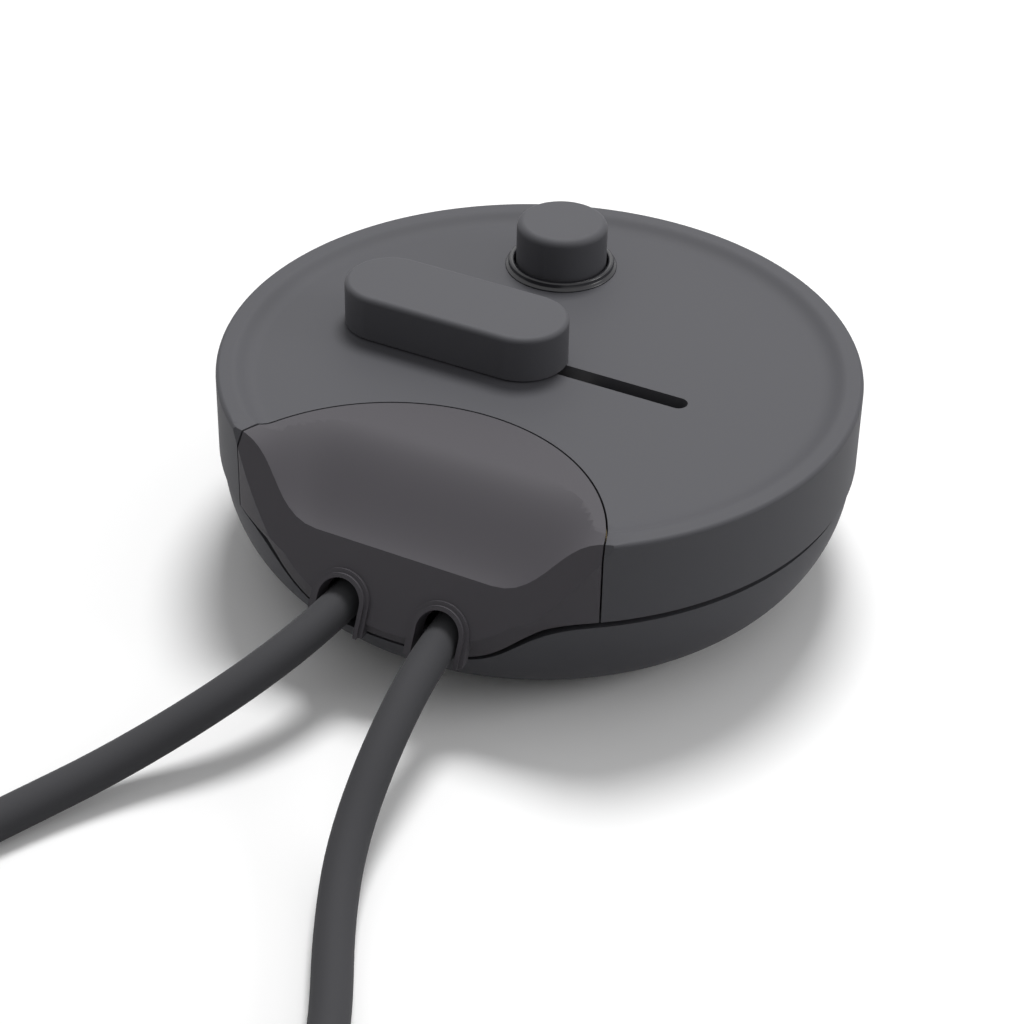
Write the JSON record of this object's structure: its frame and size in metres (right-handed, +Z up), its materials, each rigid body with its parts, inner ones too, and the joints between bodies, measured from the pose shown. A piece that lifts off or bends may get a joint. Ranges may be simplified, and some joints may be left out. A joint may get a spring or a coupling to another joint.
{
  "type": "foot dimmer",
  "caption": "Round floor-standing foot dimmer: a low black drum with a dished top, a long slider, a press button, and a scooped terminal cover where two leads enter.",
  "frame": {"origin": "centre of the round base at the plane of the feet", "axes": "+Z up, -Y towards the front where the two leads enter, +X along the slider's travel"},
  "size_m": [0.104, 0.3488, 0.0425],
  "materials": {
    "housing_black": "satin moulded plastic with a fine spark texture",
    "cover_black": "satin moulded plastic with a fine spark texture",
    "control_black": "smooth semi-matt moulded plastic",
    "collar_gloss": "glossy moulded plastic",
    "lead_black": "smooth flexible PVC sheath",
    "plug_black": "fine-textured moulded plug body",
    "rubber_black": "matt rubber",
    "switch_white": "plain moulded plastic",
    "terminal_white": "plain moulded plastic",
    "board_green": "phenolic board",
    "capacitor_yellow": "moulded capacitor case",
    "capacitor_red": "dipped film capacitor",
    "resistor_beige": "lacquered resistor",
    "epoxy_black": "moulded epoxy",
    "ferrite_grey": "coated iron powder core",
    "winding_copper": "enamelled copper",
    "steel_zinc": "zinc-plated",
    "sink_aluminium": "extruded aluminium",
    "brass_plain": "plain brass",
    "spring_steel": "bright spring steel",
    "fuse_glass": "glass tube",
    "core_brown": "coloured core insulation"
  },
  "bodies": {
    "housing": {"top_housing": "housing_black", "terminal_cover": "cover_black", "bottom_housing": "housing_black", "button_bezel": "collar_gloss", "slide_pot": "steel_zinc", "switch_body": "epoxy_black", "button_spring": "spring_steel", "circuit_board": "board_green", "heat_sink": "sink_aluminium", "triac": "epoxy_black", "triac_screw": "steel_zinc", "choke_core": "ferrite_grey", "choke_winding": "winding_copper", "suppression_capacitor": "capacitor_yellow", "timing_capacitor": "capacitor_red", "bulk_capacitor": "epoxy_black", "resistors": "resistor_beige", "diac": "fuse_glass", "fuse": "fuse_glass", "fuse_clips": "steel_zinc", "terminal_block": "terminal_white", "terminal_clamps": "brass_plain", "terminal_screws": "steel_zinc", "mains_cord_grip": "switch_white", "lamp_cord_grip": "switch_white", "grip_screws": "steel_zinc", "mains_cores": "core_brown", "lamp_cores": "core_brown", "housing_screws": "steel_zinc", "cover_screws": "steel_zinc", "board_screws": "steel_zinc", "rubber_feet": "rubber_black", "mains_lead": "lead_black", "mains_lead_coil": "lead_black", "mains_lead_tail": "lead_black", "lamp_lead": "lead_black", "lamp_lead_coil": "lead_black", "lamp_lead_tail": "lead_black", "plug_body": "plug_black", "plug_relief": "plug_black", "plug_pins": "brass_plain", "pin_sleeves": "plug_black", "lamp_core_ends": "core_brown", "core_ferrules": "steel_zinc"},
    "slider": {"slider_knob": "control_black", "slider_carriage": "switch_white", "pot_lever": "steel_zinc"},
    "button": {"push_button": "control_black", "switch_plunger": "switch_white"}
  },
  "joints": [
    {"name": "slider_travel", "type": "slide", "parent": "housing", "child": "slider", "axis": [1, 0, 0], "range_m": [0, 0.031]},
    {"name": "button_press", "type": "slide", "parent": "housing", "child": "button", "axis": [0, 0, -1], "range_m": [0, 0.003], "stiffness_N_per_m": 800, "springref_m": -0.002, "deforming": ["button_spring"]}
  ]
}
